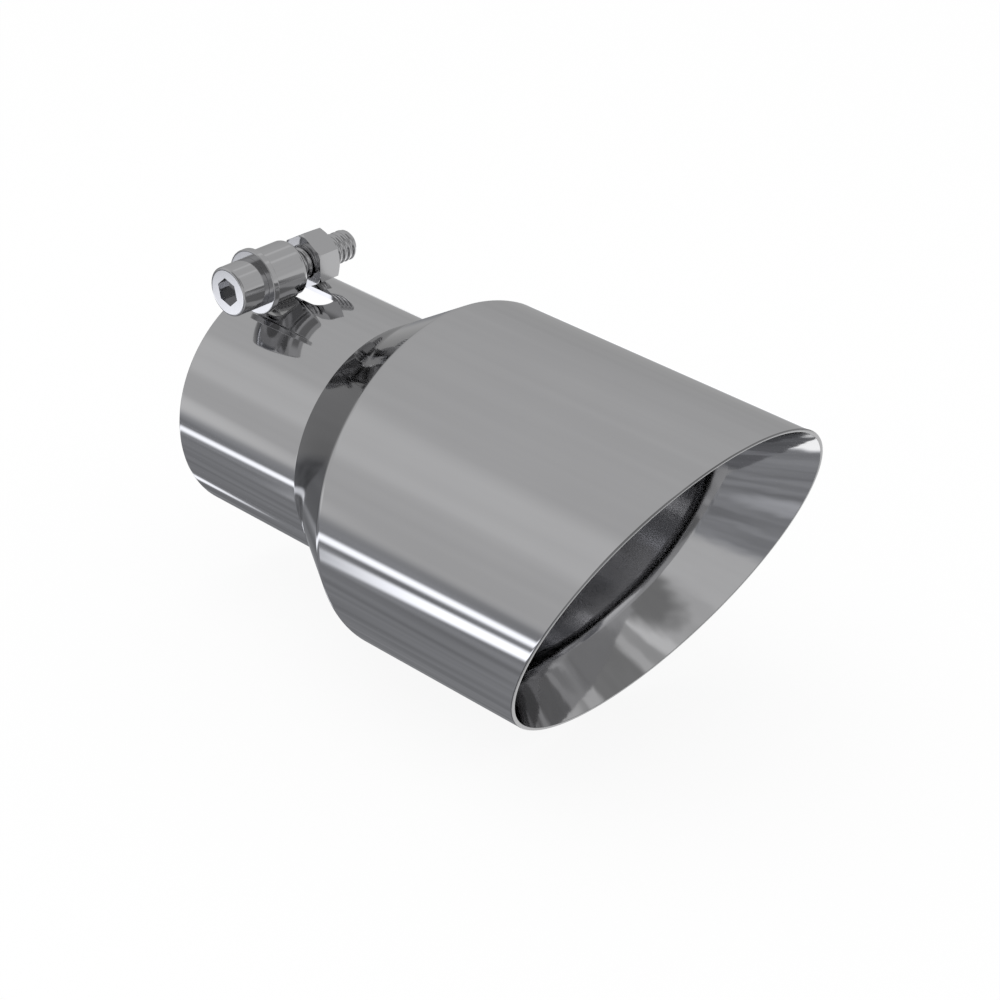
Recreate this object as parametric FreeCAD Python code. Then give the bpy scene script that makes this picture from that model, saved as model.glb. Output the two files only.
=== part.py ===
import FreeCAD, Part
import math
import os
from FreeCAD import Vector

# Clamp-on exhaust tip, double walled, with an angled mouth. Millimetres.
# The axis of the tip is X, from the inlet mouth at the origin to the outlet.
# Z points up through the clamp slot. The clamp screw lies along Y, head towards -Y.

# Inlet tube, slipped over the tail pipe
inlet_bore = 77.0
inlet_wall = 1.5
tube_length = 52.0
slot_width = 8.3
slot_length = 28.2

# Outer shell, one spun piece with its neck
shell_diameter = 114.3
shell_wall = 1.2
neck_start = 54.7
shoulder_start = 83.8
shoulder_bend = 3.0
axis_length = 172.2
mouth_angle = 27.0

# Inner liner, a tube whose mouth is flared out to the shell's lip
liner_diameter = 88.9
liner_wall = 1.2
liner_back_gap = 0.3
flare_depth = 25.6
flare_angle = 24.7

# Clamp screw, socket head
screw_diameter = 10.0
screw_length = 40.0
head_diameter = 16.0
head_height = 10.0
head_chamfer = 0.6
socket_flats = 8.0
socket_depth = 5.0
socket_turn = 43.0
point_chamfer = 1.0

# Where the screw's axis crosses, and where its head seats along Y
screw_x = 13.5
screw_z = 48.5
head_seat_y = -18.75

# Washer under the head, round lug and weld nut
washer_diameter = 21.0
washer_thickness = 2.2
lug_diameter = 18.2
lug_length = 13.4
lug_chamfer = 1.2
bolt_clearance = 0.5
clamp_gap = 5.4
nut_flats = 16.0
nut_height = 8.4
nut_chamfer = 0.7
thread_clearance = 0.05

# Weld metal that fills the corner between the tube and what stands on it
lug_weld_width = 10.0
nut_weld_width = 7.2
weld_rise = 1.6
weld_spread = 2.5
weld_end_gap = 0.3

# Sizes that follow
tube_radius = inlet_bore / 2 + inlet_wall
shell_radius = shell_diameter / 2
liner_radius = liner_diameter / 2
screw_radius = screw_diameter / 2
washer_end_y = head_seat_y + washer_thickness
lug_end_y = washer_end_y + lug_length
nut_start_y = lug_end_y + clamp_gap
nut_end_y = nut_start_y + nut_height
cone_angle = math.atan((shell_radius - tube_radius) / (shoulder_start - neck_start))
mouth_slope = math.tan(math.radians(mouth_angle))
flare_slope = math.tan(math.radians(flare_angle))
far = 3 * (axis_length + shell_diameter)

X_AXIS = Vector(1, 0, 0)
Y_AXIS = Vector(0, 1, 0)
Z_AXIS = Vector(0, 0, 1)


def rod_x(radius, start, end):
    """A round bar along X."""
    return Part.makeCylinder(radius, end - start, Vector(start, 0, 0), X_AXIS)


def rod_y(radius, start, end):
    """A round bar along Y, on the screw's axis."""
    return Part.makeCylinder(radius, end - start, Vector(screw_x, start, screw_z), Y_AXIS)


def hexagon_y(flats, start, end, turn):
    """A hexagonal bar along Y on the screw's axis, with a corner at the angle turn from +X."""
    corner = flats / math.sqrt(3)
    points = []
    for step in range(7):
        angle = math.radians(turn + 60 * step)
        points.append(Vector(screw_x + corner * math.cos(angle), start,
                             screw_z + corner * math.sin(angle)))
    return Part.Face(Part.makePolygon(points)).extrude(Y_AXIS * (end - start))


def edges_at_y(shape, y, radius):
    """The round edges of the given radius that lie in the plane at y."""
    found = []
    for edge in shape.Edges:
        flat = abs(edge.BoundBox.YMin - y) < 1e-4 and abs(edge.BoundBox.YMax - y) < 1e-4
        if flat and isinstance(edge.Curve, Part.Circle) and abs(edge.Curve.Radius - radius) < 1e-4:
            found.append(edge)
    return found


def mouth_cutter(at, slope):
    """Everything beyond the slanted plane x = at + slope * z."""
    block = Part.makeBox(far, 2 * far, 2 * far, Vector(0, -far, -far))
    block.rotate(Vector(0, 0, 0), Y_AXIS, math.degrees(math.atan(slope)))
    block.translate(Vector(at, 0, 0))
    return block


def slanted_ring(radius, at, slope):
    """The closed curve where a round bar of this radius meets the plane x = at + slope * z."""
    stretch = radius * math.sqrt(1 + slope * slope)
    along = Vector(slope, 0, 1).normalize()
    ellipse = Part.Ellipse(Vector(at, 0, 0) + along * stretch, Vector(at, radius, 0), Vector(at, 0, 0))
    return Part.Wire(ellipse.toShape())


def bent_line(inset):
    """The shell's outline in the XZ plane, moved inwards by inset, as edges from back to front."""
    shift = inset * math.tan(cone_angle / 2)
    low, high = tube_radius - inset, shell_radius - inset
    neck = Vector(neck_start + shift, 0, low)
    shoulder = Vector(shoulder_start + shift, 0, high)
    bend = shoulder_bend - inset
    run = bend * math.tan(cone_angle / 2)
    bend_in = shoulder - Vector(math.cos(cone_angle), 0, math.sin(cone_angle)) * run
    bend_out = shoulder + X_AXIS * run
    bend_mid = bend_out + Vector(-math.sin(cone_angle / 2), 0, math.cos(cone_angle / 2) - 1) * bend
    return [
        Part.makeLine(Vector(tube_length, 0, low), neck),
        Part.makeLine(neck, bend_in),
        Part.Arc(bend_in, bend_mid, bend_out).toShape(),
        Part.makeLine(bend_out, Vector(far, 0, high)),
    ]


def spun(edges, low, high):
    """The solid of revolution between the axis and a line of edges that ends at far."""
    closing = Part.makePolygon([Vector(far, 0, high), Vector(far, 0, 0),
                                Vector(tube_length, 0, 0), Vector(tube_length, 0, low)])
    return Part.Face(Part.Wire(edges + closing.Edges)).revolve(Vector(0, 0, 0), X_AXIS, 360)


def make_inlet_tube():
    tube = rod_x(tube_radius, 0, tube_length).cut(rod_x(inlet_bore / 2, 0, tube_length))
    half = slot_width / 2
    slot = Part.makeBox(slot_length - half, slot_width, tube_radius, Vector(0, -half, 0))
    slot = slot.fuse(Part.makeCylinder(half, tube_radius, Vector(slot_length - half, 0, 0), Z_AXIS))
    return tube.cut(slot)


def make_outer_shell():
    outside = spun(bent_line(0), tube_radius, shell_radius)
    inside = spun(bent_line(shell_wall), tube_radius - shell_wall, shell_radius - shell_wall)
    return outside.cut(inside).cut(mouth_cutter(axis_length, mouth_slope))


def flared(tube, mouth, back, crease):
    """A round bar of radius tube, flared from its crease to the radius mouth at the slanted lip."""
    bar = rod_x(tube, back, axis_length).cut(mouth_cutter(crease, flare_slope))
    cone = Part.makeLoft([slanted_ring(tube, crease, flare_slope),
                          slanted_ring(mouth, axis_length, mouth_slope)], True, True)
    return bar.fuse(cone).removeSplitter()


def make_inner_liner():
    seat = shell_radius - shell_wall
    lean = math.atan((seat - liner_radius) / flare_depth)
    crease = axis_length - flare_depth
    thick = liner_wall / math.cos(lean)
    shift = liner_wall * math.tan(lean / 2)
    shell_inside = (tube_radius - liner_radius) - shell_wall / math.cos(cone_angle)
    back = neck_start - shell_inside / math.tan(cone_angle) + liner_back_gap
    outside = flared(liner_radius, seat + thick, back, crease - shift)
    inside = flared(liner_radius - liner_wall, seat, back, crease)
    return outside.cut(inside).common(rod_x(seat, back, far))


def make_clamp_screw():
    head_top_y = head_seat_y - head_height
    head = rod_y(head_diameter / 2, head_top_y, head_seat_y)
    head = head.makeChamfer(head_chamfer, edges_at_y(head, head_top_y, head_diameter / 2))
    end_y = head_seat_y + screw_length
    shank = rod_y(screw_radius, head_seat_y, end_y)
    shank = shank.makeChamfer(point_chamfer, edges_at_y(shank, end_y, screw_radius))
    socket = hexagon_y(socket_flats, head_top_y, head_top_y + socket_depth, socket_turn)
    return head.fuse(shank).cut(socket)


def make_clamp_washer():
    hole = rod_y(screw_radius + bolt_clearance / 2, head_seat_y, washer_end_y)
    return rod_y(washer_diameter / 2, head_seat_y, washer_end_y).cut(hole)


def make_clamp_lug():
    lug = rod_y(lug_diameter / 2, washer_end_y, lug_end_y)
    ends = edges_at_y(lug, washer_end_y, lug_diameter / 2) + edges_at_y(lug, lug_end_y, lug_diameter / 2)
    lug = lug.makeChamfer(lug_chamfer, ends)
    hole = rod_y(screw_radius + bolt_clearance / 2, washer_end_y, lug_end_y)
    return lug.cut(hole).cut(rod_x(tube_radius, 0, tube_length))


def make_clamp_nut():
    body = hexagon_y(nut_flats, nut_start_y, nut_end_y, 30)
    corner = nut_flats / math.sqrt(3)
    turned = rod_y(corner, nut_start_y, nut_end_y)
    rims = edges_at_y(turned, nut_start_y, corner) + edges_at_y(turned, nut_end_y, corner)
    turned = turned.makeChamfer(nut_chamfer, rims)
    hole = rod_y(screw_radius + thread_clearance, nut_start_y, nut_end_y)
    return body.common(turned).cut(hole).cut(rod_x(tube_radius, 0, tube_length))


def weld_under(piece, width, near, far_end):
    """The weld bead between a piece and the tube, from beside the slot out to the piece's far end."""
    start, end = sorted((near, far_end))
    low = math.sqrt(tube_radius ** 2 - far_end ** 2) - weld_rise
    high = tube_radius + weld_rise
    foot = width / 2 + weld_spread
    outline = Part.makePolygon([
        Vector(screw_x - foot, start, low),
        Vector(screw_x + foot, start, low),
        Vector(screw_x + width / 2, start, high),
        Vector(screw_x - width / 2, start, high),
        Vector(screw_x - foot, start, low),
    ])
    bead = Part.Face(outline).extrude(Y_AXIS * (end - start))
    return bead.cut(piece).cut(rod_x(tube_radius, 0, tube_length))


if __name__ == "__main__":
    os.makedirs("parts", exist_ok=True)
    weld_start = slot_width / 2 + weld_end_gap
    lug = make_clamp_lug()
    nut = make_clamp_nut()
    pieces = {
        "inlet_tube": make_inlet_tube(),
        "outer_shell": make_outer_shell(),
        "inner_liner": make_inner_liner(),
        "clamp_screw": make_clamp_screw(),
        "clamp_washer": make_clamp_washer(),
        "clamp_lug": lug,
        "lug_weld": weld_under(lug, lug_weld_width, -weld_start, washer_end_y + lug_chamfer),
        "clamp_nut": nut,
        "nut_weld": weld_under(nut, nut_weld_width, weld_start, nut_end_y - nut_chamfer),
    }
    for name, shape in pieces.items():
        shape.exportStep("parts/" + name + ".step")
        print(name, "solids", len(shape.Solids), "valid", shape.isValid(), "volume", round(shape.Volume, 1))
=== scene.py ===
import math

import bmesh
import bpy
from mathutils import Matrix, Vector


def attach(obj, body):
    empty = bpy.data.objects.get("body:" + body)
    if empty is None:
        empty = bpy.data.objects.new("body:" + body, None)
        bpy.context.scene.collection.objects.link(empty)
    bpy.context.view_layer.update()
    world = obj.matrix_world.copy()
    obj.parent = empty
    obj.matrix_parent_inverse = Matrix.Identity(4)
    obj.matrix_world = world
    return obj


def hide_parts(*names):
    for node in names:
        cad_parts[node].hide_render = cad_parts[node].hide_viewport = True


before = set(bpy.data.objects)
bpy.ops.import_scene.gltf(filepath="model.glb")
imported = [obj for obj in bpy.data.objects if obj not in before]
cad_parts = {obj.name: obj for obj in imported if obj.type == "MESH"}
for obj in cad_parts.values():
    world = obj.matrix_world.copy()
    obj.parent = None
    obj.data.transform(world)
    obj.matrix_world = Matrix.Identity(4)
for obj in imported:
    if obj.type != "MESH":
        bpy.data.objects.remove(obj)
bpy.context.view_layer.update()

scene = bpy.context.scene
scene.view_settings.view_transform = "Standard"


# Inlet tube
# Rolled from 1.5 mm stainless sheet, seam welded and polished bright, so it slips over the tail pipe.
# A slot with a round end is cut along its top, so that the clamp can close it. Its front meets the neck.

MM = 0.001
TUBE_RADIUS = 40.0 * MM
TUBE_BORE = 38.5 * MM
TUBE_LENGTH = 52.0 * MM
SLOT_WIDTH = 8.3 * MM
SLOT_LENGTH = 28.2 * MM
SHEET_EDGE = 0.25 * MM
AROUND = 256
SLOT_AROUND = 64
ROUNDING_STEP = math.radians(9)
EDGE_MARGIN = 0.35 * MM
LONGEST_STRETCH = 8 * MM
SAME_POINT = 0.001 * MM


def rounded(corners, closed=True):
    """The points of an outline with its corners rounded.

    A corner is (place along the axis, radius, lean, rounding). The lean is how far the ring that the point
    makes is pushed along the axis at its top, and pulled back at its bottom. A point is added at a small
    distance from each rounding, so that the flat beside it looks flat.
    """
    points = []
    for index, (along, radius, lean, rounding) in enumerate(corners):
        here = Vector((along, radius, lean))
        open_end = not closed and index in (0, len(corners) - 1)
        if rounding == 0 or open_end:
            points.append(here)
            continue
        arms = []
        for neighbour in (corners[index - 1], corners[(index + 1) % len(corners)]):
            arms.append(Vector(neighbour[:3]) - here)
        inwards = arms[0].xy.normalized()
        outwards = arms[1].xy.normalized()
        turn = math.pi - inwards.angle(outwards)
        reach = rounding * math.tan(turn / 2)
        ends = [here + arm * (reach / arm.xy.length) for arm in arms]
        outer = [here + arm * ((reach + EDGE_MARGIN) / arm.xy.length) for arm in arms]
        middle = here.xy + (inwards + outwards).normalized() * (rounding / math.cos(turn / 2))
        steps = max(2, math.ceil(turn / ROUNDING_STEP))
        if arms[0].xy.length > reach + 2 * EDGE_MARGIN:
            points.append(outer[0])
        start = ends[0].xy - middle
        spread = start.angle_signed(ends[1].xy - middle)
        for step in range(steps + 1):
            share = step / steps
            angle = -spread * share
            spoke = Vector((
                start.x * math.cos(angle) - start.y * math.sin(angle),
                start.x * math.sin(angle) + start.y * math.cos(angle),
            ))
            place = middle + spoke
            points.append(Vector((place.x, place.y, ends[0].z * (1 - share) + ends[1].z * share)))
        if arms[1].xy.length > reach + 2 * EDGE_MARGIN:
            points.append(outer[1])
    return points


def spaced(points, longest=LONGEST_STRETCH):
    """The same closed outline with points added, so that no stretch is longer than this."""
    result = []
    for here, after in zip(points, points[1:] + points[:1]):
        pieces = max(1, math.ceil((after - here).xy.length / longest))
        result += [here.lerp(after, step / pieces) for step in range(pieces)]
    return result


def turned(points, closed=True, steps=AROUND):
    """An outline spun once round the X axis, with each ring leant as its point says."""
    shape = bmesh.new()
    lean = shape.verts.layers.float.new("lean")
    chain = []
    for point in points:
        corner = shape.verts.new((point.x, 0, point.y))
        corner[lean] = point.z
        chain.append(corner)
    for first, second in zip(chain, chain[1:]):
        shape.edges.new((first, second))
    if closed:
        shape.edges.new((chain[-1], chain[0]))
    bmesh.ops.spin(
        shape, geom=shape.verts[:] + shape.edges[:], cent=(0, 0, 0), axis=(1, 0, 0),
        angle=math.tau, steps=steps, use_merge=True,
    )
    bmesh.ops.remove_doubles(shape, verts=shape.verts, dist=SAME_POINT)
    for corner in shape.verts:
        radius = math.hypot(corner.co.y, corner.co.z)
        if corner[lean] and radius:
            corner.co.x += corner[lean] * corner.co.z / radius
    bmesh.ops.recalc_face_normals(shape, faces=shape.faces)
    return shape


def placed(name, shape):
    """An object in the scene, made of this shape."""
    mesh = bpy.data.meshes.new(name)
    shape.to_mesh(mesh)
    shape.free()
    item = bpy.data.objects.new(name, mesh)
    scene.collection.objects.link(item)
    return item


def carved(shape, tool, operation="DIFFERENCE"):
    """The shape with the tool cut out of it, or the part that both share."""
    sides = (placed("shape", shape), placed("tool", tool))
    cut = sides[0].modifiers.new("cut", "BOOLEAN")
    cut.operation = operation
    cut.solver = "EXACT"
    cut.object = sides[1]
    done = sides[0].evaluated_get(bpy.context.evaluated_depsgraph_get())
    result = bmesh.new()
    result.from_mesh(done.data)
    bmesh.ops.remove_doubles(result, verts=result.verts, dist=SAME_POINT)
    for side in sides:
        bpy.data.objects.remove(side)
    return result


class Link:
    """A socket of a finish. Sums and products of it add the Math nodes that they need."""

    def __init__(self, finish, node, output=0):
        self.finish = finish
        self.node = node
        self.socket = node.outputs[output]

    def out(self, output):
        """Another output of the same node."""
        return Link(self.finish, self.node, output)

    def math(self, operation, *values):
        """A Math node on these values, or on this socket alone."""
        return self.finish.add("ShaderNodeMath", {"operation": operation}, values or (self,))

    def __add__(self, other):
        return self.math("ADD", self, other)

    def __radd__(self, other):
        return self.math("ADD", other, self)

    def __sub__(self, other):
        return self.math("SUBTRACT", self, other)

    def __rsub__(self, other):
        return self.math("SUBTRACT", other, self)

    def __mul__(self, other):
        return self.math("MULTIPLY", self, other)

    def __rmul__(self, other):
        return self.math("MULTIPLY", other, self)

    def rise(self, low, high):
        """0 below low, 1 above high, and smooth between them."""
        return self.finish.add(
            "ShaderNodeMapRange", {"interpolation_type": "SMOOTHSTEP"},
            {"Value": self, "From Min": low, "From Max": high},
        )

    def band(self, low, high, soft):
        """1 between low and high, with soft sides."""
        return self.rise(low - soft, low + soft) * (1 - self.rise(high - soft, high + soft))


class Finish:
    """The nodes of one material, or of the world."""

    def __init__(self, name, owner=None):
        self.owner = owner or bpy.data.materials.new(name)
        self.owner.use_nodes = True
        self.tree = self.owner.node_tree
        self.tree.nodes.clear()

    def add(self, kind, settings=None, inputs=(), output=0):
        """A node with its settings made first, and then the values or links of its inputs."""
        node = self.tree.nodes.new(kind)
        for key, value in (settings or {}).items():
            setattr(node, key, value)
        pairs = inputs.items() if isinstance(inputs, dict) else enumerate(inputs)
        for key, value in pairs:
            if isinstance(value, Link):
                self.tree.links.new(value.socket, node.inputs[key])
            else:
                node.inputs[key].default_value = value
        return Link(self, node, output) if len(node.outputs) else node

    def mixed(self, factor, first, second):
        """The first colour where the factor is 0, and the second where it is 1."""
        values = {"Factor": factor, "A": first, "B": second}
        return self.add("ShaderNodeMix", {"data_type": "RGBA"}, values, output="Result")

    def noise(self, place, detail, scale=1.0, roughness=0.5):
        """A soft pattern of lumps that lies round a half."""
        values = {"Vector": place, "Scale": scale, "Detail": detail, "Roughness": roughness}
        return self.add("ShaderNodeTexNoise", inputs=values)

    def surface(self, shader):
        """Shows this shader on the surface."""
        of_world = isinstance(self.owner, bpy.types.World)
        kind = "ShaderNodeOutputWorld" if of_world else "ShaderNodeOutputMaterial"
        self.add(kind, inputs={"Surface": shader})
        return self.owner


# Bare metal brightens at a grazing angle. The edge tint lessens that, as the photograph hardly shows it.
EDGE_TINT = (0.76, 0.76, 0.76, 1)
LINE_ROUGHNESS = 0.6
CLOUD_SCALE = 38.0
CLOUD_SHADE = 0.965
WAVE_SCALE = (60, 180, 180)


def steel(
    name, colour, polish, smear, stretch, line_depth, wave_depth=0, rough_and_shaded_at=None, painted_shade_colour=None, haze=0
):
    """Bright steel with faint lines from the polishing wheel, and where it was pressed, shallow waves.

    Its roughness is polish, and up to polish + smear in clouds. The lines are drawn out as stretch says. The
    function rough_and_shaded_at takes the place's three parts, and gives 1 where the steel is rougher and
    painted darker as shade. Its colour there is painted_shade_colour, a painted shade, and haze is added to
    its roughness.
    """
    finish = Finish(name)
    place = finish.add("ShaderNodeTexCoord", output="Object")
    drawn = finish.add("ShaderNodeMapping", inputs={"Vector": place, "Scale": stretch})
    lines = finish.noise(drawn, detail=3.0, roughness=LINE_ROUGHNESS)
    clouds = finish.noise(place, detail=2.0, scale=CLOUD_SCALE)
    roughness = polish + smear * (lines * clouds)
    tint = finish.mixed(clouds, colour + (1,), tuple(part * CLOUD_SHADE for part in colour) + (1,))
    # Where the mask is 1, the steel is rougher and its colour is a painted shade
    if rough_and_shaded_at:
        rough_and_shaded = rough_and_shaded_at(finish.add("ShaderNodeSeparateXYZ", inputs=(place,)))
        roughness = roughness + haze * rough_and_shaded
        tint = finish.mixed(rough_and_shaded, tint, painted_shade_colour + (1,))
    height = line_depth * lines
    if wave_depth:
        rolled = finish.add("ShaderNodeMapping", inputs={"Vector": place, "Scale": WAVE_SCALE})
        height = height + wave_depth * finish.noise(rolled, detail=1.0)
    relief = finish.add("ShaderNodeBump", inputs={"Strength": 1.0, "Distance": 1.0, "Height": height})
    metal = finish.add(
        "ShaderNodeBsdfPrincipled",
        inputs={
            "Base Color": tint, "Metallic": 1.0, "Roughness": roughness, "Normal": relief,
            "Specular Tint": EDGE_TINT,
        },
    )
    return finish.surface(metal)


def finished(name, shape, node, material, hard=35):
    """A piece made of its shape, with its finish and the solid that it stands for.

    Its faces are smooth, and an edge that turns by more than the angle hard, in degrees, stays sharp.
    """
    item = placed(name, shape)
    for face in item.data.polygons:
        face.use_smooth = True
    item.data.set_sharp_from_angle(angle=math.radians(hard))
    item.data.materials.append(material)
    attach(item, "root")
    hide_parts(node)


SHEET_COLOUR = (0.60, 0.60, 0.61)
SHEET_POLISH = 0.045
SHEET_SMEAR = 0.05
SHEET_STRETCH = (6, 900, 900)
SHEET_LINES = 0.0007 * MM

POLISHED = steel("polished_steel", SHEET_COLOUR, SHEET_POLISH, SHEET_SMEAR, SHEET_STRETCH, SHEET_LINES)

tube = turned(spaced(rounded([
    (0, TUBE_BORE, 0, SHEET_EDGE),
    (0, TUBE_RADIUS, 0, SHEET_EDGE * 2),
    (TUBE_LENGTH, TUBE_RADIUS, 0, 0),
    (TUBE_LENGTH, TUBE_BORE, 0, 0),
])))

slot_reach = SLOT_LENGTH - SLOT_WIDTH / 2
slot_tool = bmesh.new()
bmesh.ops.create_cone(
    slot_tool, cap_ends=True, segments=SLOT_AROUND, radius1=SLOT_WIDTH / 2, radius2=SLOT_WIDTH / 2,
    depth=TUBE_RADIUS,
)

# The back half of the round cutter is drawn out past the open end of the tube
for corner in slot_tool.verts:
    if corner.co.x < -SAME_POINT:
        corner.co.x -= slot_reach + SLOT_WIDTH
bmesh.ops.translate(slot_tool, verts=slot_tool.verts, vec=(slot_reach, 0, TUBE_RADIUS))
tube = carved(tube, slot_tool)
finished("rolled_tube", tube, "inlet_tube", POLISHED)


# Outer shell
# One piece of 1.2 mm stainless, spun down to the tube at the neck and polished. Its mouth is cut at a slant,
# and the lip is ground round where the liner is welded in.

SHELL_RADIUS = 57.15 * MM
SHELL_WALL = 1.2 * MM
NECK_START = 54.7 * MM
SHOULDER_START = 83.8 * MM
SHOULDER_BEND = 3.0 * MM
NECK_BEND = 0.5 * MM
AXIS_LENGTH = 172.2 * MM
MOUTH_SLOPE = math.tan(math.radians(27))
LIP_ROUND = 0.55 * MM
INNER_LIP_ROUND = 0.22 * MM
GROUND_AND_SHADE_BACK = 0.605 * MM
GROUND_AND_SHADE_FRONT = 0.33 * MM
# The lip's colour is a painted shade, which draws the edge of the mouth as a dark line
PAINTED_LIP_SHADE = (0.26, 0.26, 0.265)
GROUND_HAZE = 0.22

cone_angle = math.atan2(SHELL_RADIUS - TUBE_RADIUS, SHOULDER_START - NECK_START)
wall_shift = SHELL_WALL * math.tan(cone_angle / 2)
shell_bore = SHELL_RADIUS - SHELL_WALL
shell = turned(spaced(rounded([
    (TUBE_LENGTH, TUBE_RADIUS, 0, 0),
    (NECK_START, TUBE_RADIUS, 0, NECK_BEND),
    (SHOULDER_START, SHELL_RADIUS, 0, SHOULDER_BEND),
    (AXIS_LENGTH, SHELL_RADIUS, MOUTH_SLOPE * SHELL_RADIUS, LIP_ROUND),
    (AXIS_LENGTH, shell_bore, MOUTH_SLOPE * shell_bore, INNER_LIP_ROUND),
    (SHOULDER_START + wall_shift, shell_bore, 0, SHOULDER_BEND - SHELL_WALL),
    (NECK_START + wall_shift, TUBE_RADIUS - SHELL_WALL, 0, NECK_BEND + SHELL_WALL),
    (TUBE_LENGTH, TUBE_RADIUS - SHELL_WALL, 0, 0),
])))


def ground_and_shaded_lip(place):
    """1 on the ground edge of the mouth, where the steel is rougher and painted dark as shade."""
    on_axis = place - MOUTH_SLOPE * place.out("Z")
    return on_axis.rise(AXIS_LENGTH - GROUND_AND_SHADE_BACK, AXIS_LENGTH - GROUND_AND_SHADE_FRONT)


# On the lip the steel is rougher, and its colour is darkened as painted shade
GROUND_AND_SHADED_EDGE = steel(
    "ground_and_shaded_edge_steel", SHEET_COLOUR, SHEET_POLISH, SHEET_SMEAR, SHEET_STRETCH, SHEET_LINES,
    rough_and_shaded_at=ground_and_shaded_lip, painted_shade_colour=PAINTED_LIP_SHADE, haze=GROUND_HAZE,
)
finished("spun_shell", shell, "outer_shell", GROUND_AND_SHADED_EDGE)


# Inner liner
# A 3.5 in tube of 1.2 mm stainless that carries the gas. Its front is flared out in a press to meet the lip,
# with a crease that leans a little less than the mouth. Its back seats inside the neck.

LINER_RADIUS = 44.45 * MM
LINER_WALL = 1.2 * MM
FLARE_DEPTH = 25.6 * MM
FLARE_SLOPE = math.tan(math.radians(24.7))
FLARE_BEND = 14.0 * MM
FLARE_SAG = 0.3 * MM
LINER_BACK_GAP = 0.3 * MM
LIP_SETBACK = 0.12 * MM
FLARE_STRETCH = 3 * MM
FLARE_POLISH = 0.05
FLARE_SMEAR = 0.08
FLARE_WAVES = 0.07 * MM
# Inside the liner's tube the steel is rougher, and its colour is darkened as painted shade
PAINTED_BORE_SHADE = (0.53, 0.53, 0.54)
BORE_HAZE = 0.08
BORE_SOFT = 1.5 * MM

liner_bore = LINER_RADIUS - LINER_WALL
flare_lean = math.atan2(shell_bore - LINER_RADIUS, FLARE_DEPTH)
flare_wall = LINER_WALL / math.cos(flare_lean)
crease = AXIS_LENGTH - FLARE_DEPTH
outer_crease = crease - LINER_WALL * math.tan(flare_lean / 2)
neck_drop = (TUBE_RADIUS - LINER_RADIUS) - SHELL_WALL / math.cos(cone_angle)
liner_back = NECK_START - neck_drop / math.tan(cone_angle) + LINER_BACK_GAP
outer_share = (shell_bore - LINER_RADIUS) / (shell_bore + flare_wall - LINER_RADIUS)
lean_at_crease = FLARE_SLOPE * LINER_RADIUS
lean_at_mouth = MOUTH_SLOPE * (shell_bore + flare_wall)
liner_line = spaced(rounded([
    (liner_back, LINER_RADIUS, 0, 0),
    (outer_crease, LINER_RADIUS, lean_at_crease, FLARE_BEND + LINER_WALL),
    (
        outer_crease + (AXIS_LENGTH - outer_crease) * outer_share,
        shell_bore,
        lean_at_crease + (lean_at_mouth - lean_at_crease) * outer_share,
        0,
    ),
    (AXIS_LENGTH - LIP_SETBACK, shell_bore, MOUTH_SLOPE * shell_bore, 0),
    (crease, liner_bore, FLARE_SLOPE * liner_bore, FLARE_BEND),
    (liner_back, liner_bore, 0, 0),
]), longest=FLARE_STRETCH)

# The flare is a little hollow between its crease and the lip
for point in liner_line:
    share = min(1, max(0, (point.x - crease) / FLARE_DEPTH))
    point.y -= 4 * FLARE_SAG * share * (1 - share)
liner = turned(liner_line, steps=2 * AROUND)


def rough_and_shaded_bore(place):
    """1 inside the liner's tube, where the steel is rougher and painted darker as shade, and 0 on its flare.
    """
    radius = (place.out("Y") * place.out("Y") + place.out("Z") * place.out("Z")).math("SQRT")
    return 1 - radius.rise(liner_bore, liner_bore + BORE_SOFT)


# Painted shade darkens the inside of the liner's tube
PRESSED = steel(
    "pressed_steel", SHEET_COLOUR, FLARE_POLISH, FLARE_SMEAR, SHEET_STRETCH, SHEET_LINES,
    wave_depth=FLARE_WAVES, rough_and_shaded_at=rough_and_shaded_bore, painted_shade_colour=PAINTED_BORE_SHADE, haze=BORE_HAZE,
)
finished("flared_liner", liner, "inner_liner", PRESSED)


# Clamp screw
# A bought M10 by 40 socket head screw: a cold-headed, bright plated head with an 8 mm hexagon socket, and a
# rolled thread. It passes through the lug and draws the nut towards it.

SCREW_X = 13.5 * MM
SCREW_Z = 48.5 * MM
SCREW_RADIUS = 5.0 * MM
HEAD_SEAT = -18.75 * MM
HEAD_HEIGHT = 10.0 * MM
HEAD_RADIUS = 8.0 * MM
HEAD_ROUND = 0.7 * MM
SEAT_ROUND = 0.12 * MM
SCREW_LENGTH = 40.0 * MM
POINT_CHAMFER = 1.0 * MM
THREAD_PITCH = 2.0 * MM
THREAD_DEPTH = 0.4 * MM
THREAD_RINGS = 14
PLAIN_NECK = 3.0 * MM
SOCKET_FLATS = 8.0 * MM
SOCKET_DEPTH = 5.0 * MM
SOCKET_TURN = math.radians(43)
SCREW_AROUND = 120

# Half the width of the thread's crest, and of its root, as a share of the pitch
THREAD_FLAT = 0.06

BRIGHT = steel(
    "fastener_steel", colour=(0.58, 0.58, 0.59), polish=0.07, smear=0.08, stretch=(700, 60, 700),
    line_depth=0.001 * MM,
)
on_screw = Matrix.Translation((SCREW_X, 0, SCREW_Z)) @ Matrix.Rotation(math.radians(90), 4, "Z")


def hexagon(flats, start, end, turn):
    """A hexagonal bar along the screw's axis, with a corner at the angle turn from +X."""
    bar = bmesh.new()
    corner_radius = flats / math.sqrt(3)
    bmesh.ops.create_cone(
        bar, cap_ends=True, segments=6, radius1=corner_radius, radius2=corner_radius, depth=end - start
    )
    lie = (
        Matrix.Translation((SCREW_X, (start + end) / 2, SCREW_Z))
        @ Matrix.Rotation(-turn, 4, "Y")
        @ Matrix.Rotation(math.radians(-90), 4, "X")
        @ Matrix.Rotation(math.radians(-90), 4, "Z")
    )
    bmesh.ops.transform(bar, matrix=lie, verts=bar.verts)
    return bar


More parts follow.
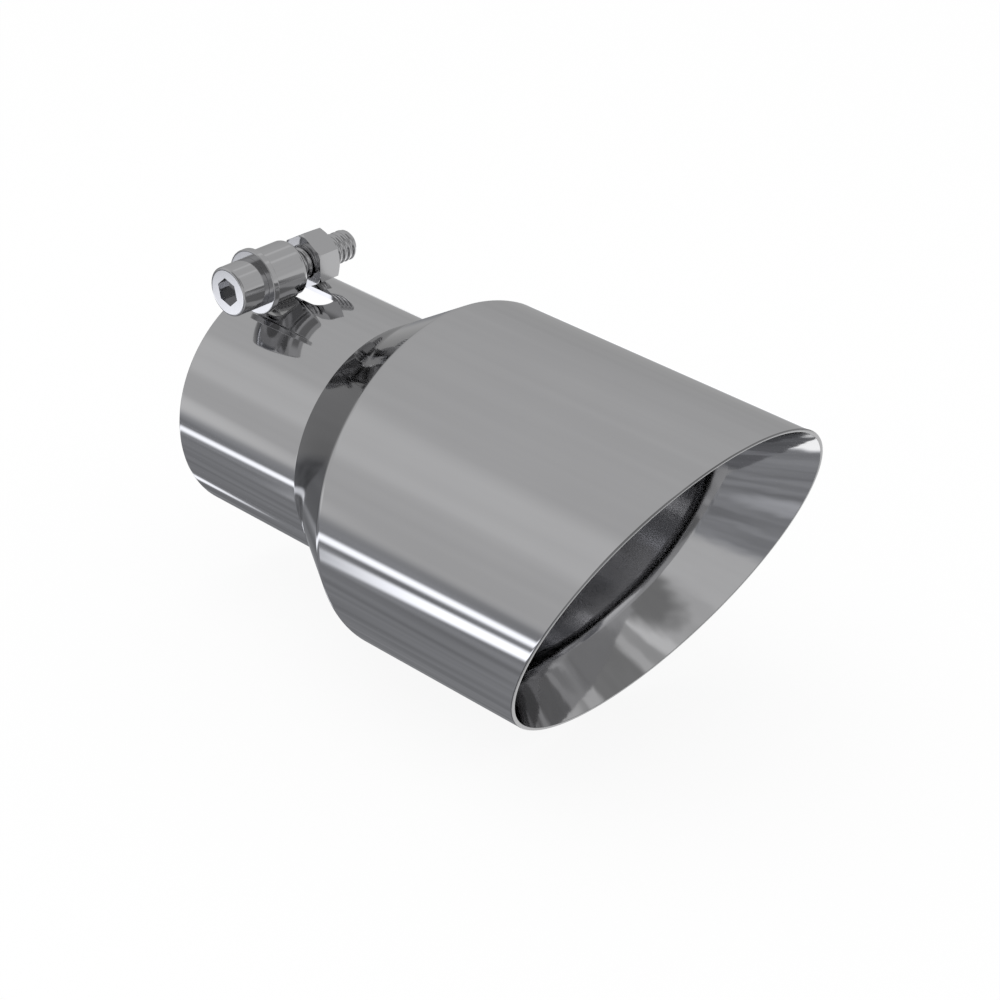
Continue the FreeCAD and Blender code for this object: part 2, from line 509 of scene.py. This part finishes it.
head_top = HEAD_SEAT - HEAD_HEIGHT
screw_end = HEAD_SEAT + SCREW_LENGTH
screw_line = rounded([
    (head_top, 0, 0, 0),
    (head_top, HEAD_RADIUS, 0, HEAD_ROUND),
    (HEAD_SEAT, HEAD_RADIUS, 0, SEAT_ROUND),
    (HEAD_SEAT, SCREW_RADIUS, 0, 0),
    (HEAD_SEAT + PLAIN_NECK, SCREW_RADIUS, 0, 0),
], closed=False)
ring_count = round((SCREW_LENGTH - PLAIN_NECK) / THREAD_PITCH * THREAD_RINGS)
for ring in range(1, ring_count + 1):
    along = HEAD_SEAT + PLAIN_NECK + (SCREW_LENGTH - PLAIN_NECK) * ring / ring_count
    chamfer = max(0, along - (screw_end - POINT_CHAMFER))
    screw_line.append(Vector((along, SCREW_RADIUS - chamfer, 0)))
screw_line.append(Vector((screw_end, 0, 0)))
screw = turned(screw_line, closed=False, steps=SCREW_AROUND)

# The thread is cut by drawing each point in, by its height in the groove that passes it
for corner in screw.verts:
    depth_along = corner.co.x - HEAD_SEAT - PLAIN_NECK
    radius = math.hypot(corner.co.y, corner.co.z)
    if depth_along <= 0 or radius < SCREW_RADIUS / 2:
        continue
    around = math.atan2(corner.co.y, corner.co.z) / math.tau
    phase = (depth_along / THREAD_PITCH + around) % 1
    slope = (abs(phase - 0.5) - THREAD_FLAT) / (0.5 - 2 * THREAD_FLAT)
    groove = 0.5 - 0.5 * math.cos(math.pi * min(1, max(0, slope)))
    run_in = min(1, depth_along / THREAD_PITCH)
    wanted = SCREW_RADIUS - THREAD_DEPTH * groove * run_in
    if wanted < radius:
        corner.co.y *= wanted / radius
        corner.co.z *= wanted / radius
bmesh.ops.transform(screw, matrix=on_screw, verts=screw.verts)
socket = hexagon(SOCKET_FLATS, head_top - HEAD_HEIGHT, head_top + SOCKET_DEPTH, SOCKET_TURN)
screw = carved(screw, socket)
finished("socket_screw", screw, "clamp_screw", BRIGHT, hard=40)


# Washer
# A turned flat washer, 21 mm across, that spreads the head's load over the end of the lug.

WASHER_RADIUS = 10.5 * MM
WASHER_THICKNESS = 2.2 * MM
WASHER_ROUND = 0.3 * MM
HOLE_RADIUS = 5.25 * MM
WASHER_AROUND = 160

washer_end = HEAD_SEAT + WASHER_THICKNESS
washer = turned(rounded([
    (HEAD_SEAT, HOLE_RADIUS, 0, WASHER_ROUND / 2),
    (HEAD_SEAT, WASHER_RADIUS, 0, WASHER_ROUND),
    (washer_end, WASHER_RADIUS, 0, WASHER_ROUND),
    (washer_end, HOLE_RADIUS, 0, WASHER_ROUND / 2),
]), steps=WASHER_AROUND)
bmesh.ops.transform(washer, matrix=on_screw, verts=washer.verts)
finished("flat_washer", washer, "clamp_washer", BRIGHT)


# Lug
# A round bar drilled for the screw, with its ends turned round. Its underside is milled to the tube's
# radius, so that it sits on the tube beside the slot, and it is welded there.

LUG_RADIUS = 9.1 * MM
LUG_LENGTH = 13.4 * MM
LUG_BACK_ROUND = 0.8 * MM
LUG_FRONT_ROUND = 1.8 * MM
LUG_AROUND = 160
SEAT_MARGIN = 10 * MM
SEAT_AROUND = 720


def tube_tool():
    """A solid bar as large as the tube, to cut a seat with."""
    start = -SEAT_MARGIN
    end = TUBE_LENGTH + SEAT_MARGIN
    outline = []
    for along, radius in ((start, 0), (start, TUBE_RADIUS), (end, TUBE_RADIUS), (end, 0)):
        outline.append(Vector((along, radius, 0)))
    return turned(outline, closed=False, steps=SEAT_AROUND)


lug_end = washer_end + LUG_LENGTH
lug = turned(rounded([
    (washer_end, HOLE_RADIUS, 0, 0),
    (washer_end, LUG_RADIUS, 0, LUG_BACK_ROUND),
    (lug_end, LUG_RADIUS, 0, LUG_FRONT_ROUND),
    (lug_end, HOLE_RADIUS, 0, 0),
]), steps=LUG_AROUND)
bmesh.ops.transform(lug, matrix=on_screw, verts=lug.verts)
lug = carved(lug, tube_tool())
finished("round_lug", lug, "clamp_lug", BRIGHT)


# Weld nut
# A pressed hexagon nut, 16 mm across its flats and chamfered at both ends. It stands on the tube with one
# corner up, its underside cut to the tube's radius, and is welded there.

NUT_FLATS = 16.0 * MM
NUT_HEIGHT = 8.4 * MM
NUT_CHAMFER = 0.7 * MM
NUT_CROWN = 1.5 * MM
NUT_BORE = 5.05 * MM
NUT_MOUTH = 5.6 * MM
CLAMP_GAP = 5.4 * MM
NUT_TURN = math.radians(30)
NUT_MARGIN = 1 * MM

# No step of the turning falls on a corner of the hexagon
NUT_AROUND = 150

nut_start = lug_end + CLAMP_GAP
nut_end = nut_start + NUT_HEIGHT
nut_corner = NUT_FLATS / math.sqrt(3)
nut_turning = turned(rounded([
    (nut_start, NUT_MOUTH, 0, 0),
    (nut_start, nut_corner - NUT_CHAMFER, 0, NUT_CHAMFER / 2),
    (nut_start + NUT_CHAMFER, nut_corner + NUT_CHAMFER / 2, 0, 0),
    (nut_end - NUT_CROWN, nut_corner + NUT_CROWN / 2, 0, 0),
    (nut_end, nut_corner - NUT_CROWN, 0, NUT_CROWN),
    (nut_end, NUT_MOUTH, 0, 0),
    (nut_end + NUT_BORE - NUT_MOUTH, NUT_BORE, 0, 0),
    (nut_start - NUT_BORE + NUT_MOUTH, NUT_BORE, 0, 0),
]), steps=NUT_AROUND)
bmesh.ops.transform(nut_turning, matrix=on_screw, verts=nut_turning.verts)
nut_bar = hexagon(NUT_FLATS, nut_start - NUT_MARGIN, nut_end + NUT_MARGIN, NUT_TURN)
nut = carved(nut_turning, nut_bar, "INTERSECT")
nut = carved(nut, tube_tool())
finished("weld_nut", nut, "clamp_nut", BRIGHT)


# Weld beads
# Bright stainless filler run into the corner between the tube and the lug or the nut. Each bead begins beside
# the slot and follows the tube round, and shows the ripples of the pool as it froze.

LUG_WELD_WIDTH = 10.0 * MM
NUT_WELD_WIDTH = 7.2 * MM
WELD_SPREAD = 2.5 * MM
WELD_RISE = 1.6 * MM
WELD_END_GAP = 0.3 * MM
WELD_SUNK = 0.15 * MM
RIPPLE_PITCH = 1.1 * MM
RIPPLE_HEIGHT = 0.05 * MM
RIPPLE_BOW = 1.0 * MM
BEAD_END_WIDTH = 0.4
BEAD_END_POWER = 6
BEAD_ACROSS = 40
BEAD_ALONG = 100

BEAD = steel(
    "weld_steel", colour=(0.5, 0.5, 0.5), polish=0.16, smear=0.2, stretch=(500, 500, 500),
    line_depth=0.007 * MM,
)


def bead(start, end, width, underside):
    """A weld bead from y = start to y = end. It rises to just inside the piece, whose underside is given."""
    shape = bmesh.new()
    bmesh.ops.create_grid(shape, x_segments=BEAD_ACROSS, y_segments=BEAD_ALONG, size=1)
    half = width / 2 + WELD_SPREAD
    for corner in shape.verts:
        across, along = corner.co.x, corner.co.y
        taper = math.sqrt(max(0, 1 - along ** BEAD_END_POWER))
        x = across * half * (BEAD_END_WIDTH + (1 - BEAD_END_WIDTH) * taper)
        y = (start + end) / 2 + along * (end - start) / 2
        seat = math.sqrt(TUBE_RADIUS ** 2 - y ** 2)
        rise = WELD_RISE + max(0, underside - seat)
        wave = math.cos((abs(y) + RIPPLE_BOW * across ** 2) / RIPPLE_PITCH * math.tau)
        crown = (1 - across ** 2) * taper
        corner.co = (SCREW_X + x, y, seat - WELD_SUNK + crown * (rise + RIPPLE_HEIGHT * wave))
    bmesh.ops.recalc_face_normals(shape, faces=shape.faces)
    bmesh.ops.solidify(shape, geom=shape.faces, thickness=WELD_SUNK)
    bmesh.ops.recalc_face_normals(shape, faces=shape.faces)
    return shape


slot_side = SLOT_WIDTH / 2 + WELD_END_GAP
lug_bead = bead(washer_end + LUG_FRONT_ROUND, -slot_side, LUG_WELD_WIDTH, SCREW_Z - LUG_RADIUS)
finished("lug_bead", lug_bead, "lug_weld", BEAD)
nut_bead = bead(slot_side, nut_end - NUT_CHAMFER, NUT_WELD_WIDTH, SCREW_Z - nut_corner)
finished("nut_bead", nut_bead, "nut_weld", BEAD)


# Studio
# A tent of pale cards that only the metal sees, as round a photographed piece of chrome: grey walls over a
# darker ground, two bright strips low down, and a few soft lights. The floor and the background are white.

TENT_RADIUS = 30.0
TENT_SPLITS = 5
WALL = 0.545
WALL_FOLDS = 0.06
LEFT_WALL = 0.1
RIGHT_WALL = 0.07
GROUND = 0.29
GROUND_FOLDS = 0.32
GROUND_TINT = (0.975, 0.99, 1.04, 1)
FOLD_SCALE = (3, 11, 11)
FOLD_ROUGHNESS = 0.4
HORIZON = -0.38
HORIZON_TO_FRONT = -0.137
HORIZON_SOFT = 0.075
SWEEP = 1.6
SWEEP_FADE = 0.87
BRIGHT_PANEL = 0.19
GREY_PANEL = 0.13
OPEN_ROOF = 0.29
UPPER_STRIP = 1.45
LOWER_STRIP = 1.6
WHITE = (1, 1, 1, 1)

tent = Finish("studio_tent")
inside = tent.add("ShaderNodeTexCoord", output="Object")
toward = tent.add("ShaderNodeVectorMath", {"operation": "NORMALIZE"}, (inside,))

# The three parts of a direction, each from -1 to 1: +X is front, +Y is right and +Z is up
parts = tent.add("ShaderNodeSeparateXYZ", inputs=(toward,))
front = parts.out("X")
right = parts.out("Y")
height = parts.out("Z")


def card(strength, azimuth, elevation, radius, soft):
    """The strength in a round patch of the tent, and 0 outside its soft edge. The others are degrees."""
    around = math.radians(azimuth)
    up = math.radians(elevation)
    middle = (math.cos(up) * math.cos(around), math.cos(up) * math.sin(around), math.sin(up))
    nearness = tent.add(
        "ShaderNodeVectorMath", {"operation": "DOT_PRODUCT"}, (toward, middle), output="Value"
    )
    edge = nearness.rise(math.cos(math.radians(radius + soft)), math.cos(math.radians(radius - soft)))
    return strength * edge


def strip(low, high, soft, climb, pivot):
    """1 in a level strip that climbs to the front. It lies between low and high where front is pivot."""
    return (height - climb * (front - pivot)).band(low, high, soft)


# Walls over the ground, both with soft folds
folds = tent.add("ShaderNodeMapping", inputs={"Vector": toward, "Scale": FOLD_SCALE})
folds = tent.noise(folds, detail=1.0, roughness=FOLD_ROUGHNESS) - 0.5
horizon = HORIZON + HORIZON_TO_FRONT * front
above = (height - horizon).rise(-HORIZON_SOFT, HORIZON_SOFT)
left_wall = height.band(0.22, 0.6, 0.07) * (1 - right.rise(-0.5, -0.3)) * (1 - front.rise(-0.3, 0.1))
right_wall = front.rise(0.1, 0.3) * (1 - height.rise(0.1, 0.2))
wall = WALL + WALL_FOLDS * folds + LEFT_WALL * left_wall + RIGHT_WALL * right_wall
ground = GROUND + GROUND_FOLDS * folds
level = ground + (wall - ground) * above

# A bright sweep of paper on the right, low down, which fades to the front
sweep = (front + right).rise(-0.03, 0.01) * (1 - height.rise(-0.4, -0.26))
sweep_level = SWEEP - SWEEP_FADE * front.rise(-0.1, 0.5)
level = level + (sweep_level - level) * sweep

# A bright panel and a grey one high in front, and the darker open roof to their right
ceiling = front.rise(0.3, 0.45) * height.rise(0.3, 0.45)
bright_panel = BRIGHT_PANEL * right.band(-0.54, -0.41, 0.03)
grey_panel = GREY_PANEL * right.band(-0.4, -0.27, 0.03)
open_roof = OPEN_ROOF * (right.band(-0.125, 0.48, 0.04) + right.rise(0.64, 0.7))
level = level + ceiling * (bright_panel - grey_panel - open_roof)

# Gaps in the tent, where it is darker
dark_end = card(strength=0.45, azimuth=173, elevation=-9, radius=22, soft=9)
camera_gap = card(strength=0.58, azimuth=-84, elevation=39, radius=31, soft=3)
front_gap = card(strength=0.33, azimuth=-24, elevation=-6, radius=21, soft=6)
level = level * (1 - dark_end) * (1 - camera_gap) * (1 - front_gap)

# Soft lights
wall_light = card(strength=0.19, azimuth=221, elevation=-10, radius=6, soft=3)
floor_light = card(strength=0.2, azimuth=-78, elevation=-60, radius=4, soft=4)
right_roof_light = card(strength=0.12, azimuth=72, elevation=51, radius=3, soft=2.5)
back_roof_light = card(strength=0.12, azimuth=121, elevation=46, radius=3, soft=3)
low_light = card(strength=1.6, azimuth=172.8, elevation=-44.4, radius=3, soft=1)
level = level + wall_light + floor_light + right_roof_light + back_roof_light + low_light

# Two bright strips behind, low down
behind = (1 - front.rise(-0.6, -0.35)) * (1 - right.rise(0.1, 0.3))
upper_strip = strip(low=-0.464, high=-0.412, soft=0.02, climb=0.33, pivot=-0.65)
lower_strip = strip(low=-0.578, high=-0.5, soft=0.018, climb=0.5, pivot=-0.6) * front.rise(-0.67, -0.61)
level = level + behind * (UPPER_STRIP * upper_strip + LOWER_STRIP * lower_strip)

tint = tent.mixed(above + sweep - above * sweep, GROUND_TINT, WHITE)
glow = tent.add("ShaderNodeVectorMath", {"operation": "SCALE"}, {0: tint, "Scale": level})
tent_glow = tent.surface(tent.add("ShaderNodeEmission", inputs={"Color": glow, "Strength": 1.0}))
tent_glow.cycles.emission_sampling = "NONE"

sphere = bmesh.new()
bmesh.ops.create_icosphere(sphere, subdivisions=TENT_SPLITS, radius=TENT_RADIUS)
tent_item = placed("studio_tent", sphere)
tent_item.data.materials.append(tent_glow)
tent_item.visible_camera = False
tent_item.visible_diffuse = False
tent_item.visible_shadow = False
tent_item.visible_transmission = False

FLOOR_DROP = 57.3 * MM
FLOOR_HALF = 6.0
SHADOW_SHARE = 0.1
PAPER = (0.9, 0.9, 0.9, 1)

floor_shape = bmesh.new()
bmesh.ops.create_grid(floor_shape, x_segments=1, y_segments=1, size=FLOOR_HALF)
bmesh.ops.translate(floor_shape, verts=floor_shape.verts, vec=(0, 0, -FLOOR_DROP))
paper = Finish("white_paper")
ray = paper.add("ShaderNodeLightPath", output="Is Camera Ray")
lit = paper.add("ShaderNodeBsdfDiffuse", inputs={"Color": PAPER})
white = paper.add("ShaderNodeEmission", inputs={"Color": WHITE, "Strength": 1.0})
paper.surface(paper.add("ShaderNodeMixShader", inputs=((1 - SHADOW_SHARE) * ray, lit, white)))
paper.owner.cycles.emission_sampling = "NONE"
floor = placed("floor", floor_shape)
floor.data.materials.append(paper.owner)
floor.visible_glossy = False

SKY_LEVEL = 0.9
LAMP_SIZE = 1.2
LAMP_WATTS = 6.0
LAMP_PLACE = (0.1, -0.3, 1.4)
LAMP_TILT = math.radians(12)

sky = Finish("studio_world", bpy.data.worlds.new("studio_world"))
scene.world = sky.owner
path = sky.add("ShaderNodeLightPath", output="Is Camera Ray")
seen = path + path.out("Is Glossy Ray") + path.out("Is Transmission Ray")
soft = sky.add("ShaderNodeBackground", inputs={"Color": WHITE, "Strength": SKY_LEVEL})
bare = sky.add("ShaderNodeBackground", inputs={"Color": WHITE, "Strength": 1.0})
sky.surface(sky.add("ShaderNodeMixShader", inputs=(seen, soft, bare)))

lamp_data = bpy.data.lights.new("soft_box", "AREA")
lamp_data.size = LAMP_SIZE
lamp_data.energy = LAMP_WATTS
lamp = bpy.data.objects.new("soft_box", lamp_data)
lamp.location = LAMP_PLACE
lamp.rotation_euler = (LAMP_TILT, 0, 0)
lamp.visible_glossy = False
scene.collection.objects.link(lamp)


# Camera
# Stands where the photograph was taken from, about a metre away, seen a little from above.

CAMERA_PLACE = (0.68395, -0.57792, 0.46881)
CAMERA_RIGHT = (0.7053, 0.7089, 0.0)
CAMERA_UP = (-0.3521, 0.3503, 0.8679)
CAMERA_BACK = (0.6153, -0.6121, 0.4967)
CAMERA_LENS = 112.41
CAMERA_SENSOR = 36
CAMERA_REACH = 100

camera_data = bpy.data.cameras.new("camera")
camera_data.lens = CAMERA_LENS
camera_data.sensor_width = CAMERA_SENSOR
camera_data.clip_end = CAMERA_REACH
camera = bpy.data.objects.new("camera", camera_data)
turn = Matrix((CAMERA_RIGHT, CAMERA_UP, CAMERA_BACK)).transposed().to_4x4()
camera.matrix_world = Matrix.Translation(CAMERA_PLACE) @ turn
scene.collection.objects.link(camera)
scene.camera = camera
